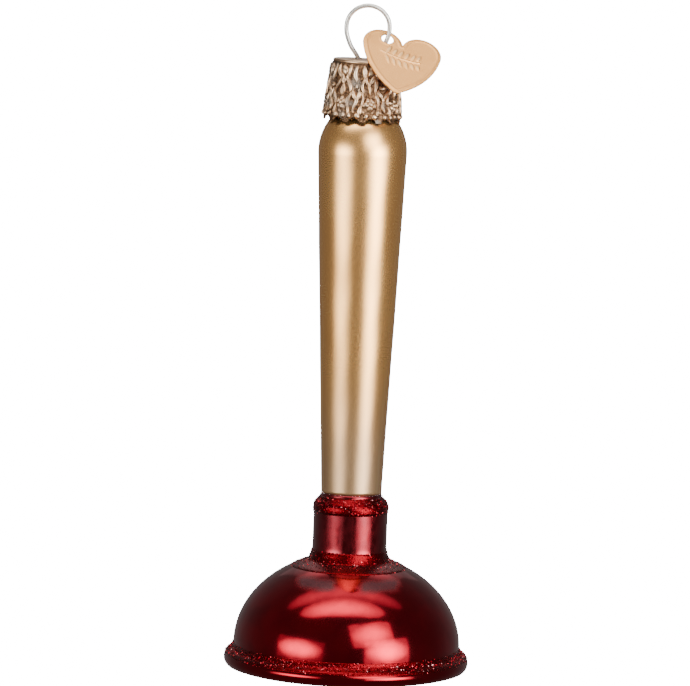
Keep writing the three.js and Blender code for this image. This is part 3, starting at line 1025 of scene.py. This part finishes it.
# a point is inside if a ray from it towards +X crosses the outline an odd number of times
def insideOutline(outline, points):
    a, b = outline, np.roll(outline, -1, axis=0)
    y = points[:, 1][:, None]
    spans = (a[:, 1] > y) != (b[:, 1] > y)
    meets = a[:, 0] + (y - a[:, 1]) / (b[:, 1] - a[:, 1] + 1e-12) * (b[:, 0] - a[:, 0])
    return (spans & (points[:, 0][:, None] < meets)).sum(1) % 2 == 1


# a stem with paired leaves, lying across the middle of the tag
def sprig(t, points):
    x, y = (points - t["sprigAt"]).T
    bow = y - 0.035 * x ** 2 + 0.12 * x
    relief = 0.8 * np.exp(-(bow / 0.15) ** 2) * (np.abs(x) < 3.7)
    for i, at in enumerate(t["sprigLeaves"]):
        for side in (-1, 1):
            s, z = x - at - 0.3, bow - side * 1.15
            relief = np.maximum(relief, leaf(s, z, side * 22, 2.3 - 0.15 * i, 0.72, 0.35))
    return relief


# the border and the sprig stop short of the eyelet round the hole
def tagRelief(t, points, inside, fromHole):
    line = t["borderHeight"] * np.exp(-((inside - t["border"]) / t["borderWidth"]) ** 4)
    ring = t["borderHeight"] * np.exp(-((fromHole - t["eyelet"]) / t["eyeletWidth"]) ** 4)
    field = sprig(t, points) * (fromHole > 0.55)
    return np.maximum(np.maximum(line * (fromHole > 0.35), ring), t["sprig"] * field)


def tagFoil(t):
    foil = Finish("tag_brass", Metallic=0.95)
    sparkle = foil.mottle(0.14, 3)
    cloud = foil.mottle(2.4, 3, seed=3)
    relief = foil.node("Attribute", {"attribute_name": "relief"}, {}, "Fac")
    glint = foil.blend(foil.blend(*t["gold"], cloud), t["glint"], foil.rise(sparkle, 0.55, 0.72) * 0.6)
    # the raised border and sprig are painted lighter towards their tops: a painted highlight on the relief
    return foil.painted(
        Base_Color=foil.blend(glint, t["reliefHighlight"], foil.rise(relief, 0.3, 1.0) * 0.5),
        Roughness=0.42 + sparkle * 0.16,
        Normal=foil.bump(sparkle, 0.05, 0.8))


# the flat face in triangles, with the hole in it
def tagFace(t):
    outline = heartOutline(t, t["outlineStep"])
    spin = np.linspace(0, 2 * np.pi, t["holeRound"], endpoint=False)
    hole = np.column_stack([np.cos(spin), np.sin(spin)]) * t["hole"] + t["holeAt"]
    low, high = outline.min(0), outline.max(0)
    x, y = np.meshgrid(np.arange(low[0], high[0], t["grid"]), np.arange(low[1], high[1], t["grid"] * 0.87))
    x[::2] += t["grid"] / 2
    inner = np.column_stack([x.ravel(), y.ravel()])
    inner = inner[insideOutline(outline, inner)]
    inner = inner[holeDistance(t, inner) > t["gridFromHole"]]
    inner = inner[heartDistance(t, inner) > t["gridFromEdge"]]
    shares = [row / t["halfWidth"] for row in t["roundRows"]]
    shrunk = [outline[::2] * (1 - share) + np.array(t["middle"]) * share for share in shares]
    cloud = np.vstack([outline, hole, inner, *shrunk])
    rims = (0, len(outline)), (len(outline), len(hole))
    edges = [(start + i, start + (i + 1) % around) for start, around in rims for i in range(around)]
    flat, _, triangles, *_ = geometry.delaunay_2d_cdt([Vector(p) for p in cloud], edges, [], 1, hair)
    flat = np.array([tuple(p) for p in flat])
    return flat, [list(f) for f in triangles if holeDistance(t, flat[f].mean(0)) > -0.005 * t["hole"]]


# hung by its hole on the loop, turned and leaning back on the rounded edge of the cap
def tagPlace(t):
    lean = Matrix.Rotation(math.radians(hanger["lean"]), 3, "X")
    eye = lean @ Vector(loopPoint(hanger, t["wireAngle"])) + Vector((0, 0, cap["top"] - cap["sheet"] / 2))
    yaw = math.radians(t["yaw"])
    over = eye.z - cap["top"] + t["restEdge"]
    out = cap["topRadius"] - t["restEdge"] - eye.x * math.sin(yaw) + eye.y * math.cos(yaw)
    stand = t["restEdge"] + t["thickness"] / 2 + t["rest"]
    tilt = math.atan2(out, over) + math.asin(stand / math.hypot(out, over))
    turn = (Matrix.Rotation(yaw, 3, "Z") @ Matrix.Rotation(-tilt, 3, "X")
            @ Matrix.Rotation(math.radians(t["turn"]), 3, "Y"))
    hang = eye + turn @ Vector((0, 0, -t["slack"]))
    return capPlace @ Matrix.Translation(hang) @ turn.to_4x4()


def makeTag(t):
    flat, triangles = tagFace(t)
    inside, fromHole = heartDistance(t, flat), holeDistance(t, flat)
    raised = tagRelief(t, flat, inside, fromHole)
    # edges are rounded over, of the heart and of the hole
    short = np.clip(t["round"] - np.minimum(inside, fromHole), 0, None)
    soft = t["round"] - np.sqrt(np.clip(t["round"] ** 2 - short ** 2, 0, None))
    front = np.column_stack([flat, t["thickness"] - soft + raised])
    back = np.column_stack([flat, soft])
    count = len(flat)
    faces = triangles + [[i + count for i in f[::-1]] for f in triangles]
    sides = [pair for f in triangles for pair in zip(f, f[1:] + f[:1])]
    known = set(sides)
    faces += [[b, a, a + count, b + count] for a, b in sides if (b, a) not in known]

    centred = np.vstack([front, back]) - (*t["holeAt"], t["thickness"] / 2)
    upright = np.column_stack([centred[:, 0], -centred[:, 2], centred[:, 1]])
    piece = makePiece("heartTag", moved(upright, tagPlace(t)), faces, tagFoil(t))
    piece.data.set_sharp_from_angle(angle=math.radians(60))
    storeOnPoints(piece, "relief", np.r_[raised / t["sprig"], np.zeros(count)])
    settle(piece, "tag", "tag_brass", "heart_tag")


makeTag(tag)
print("tag hung")
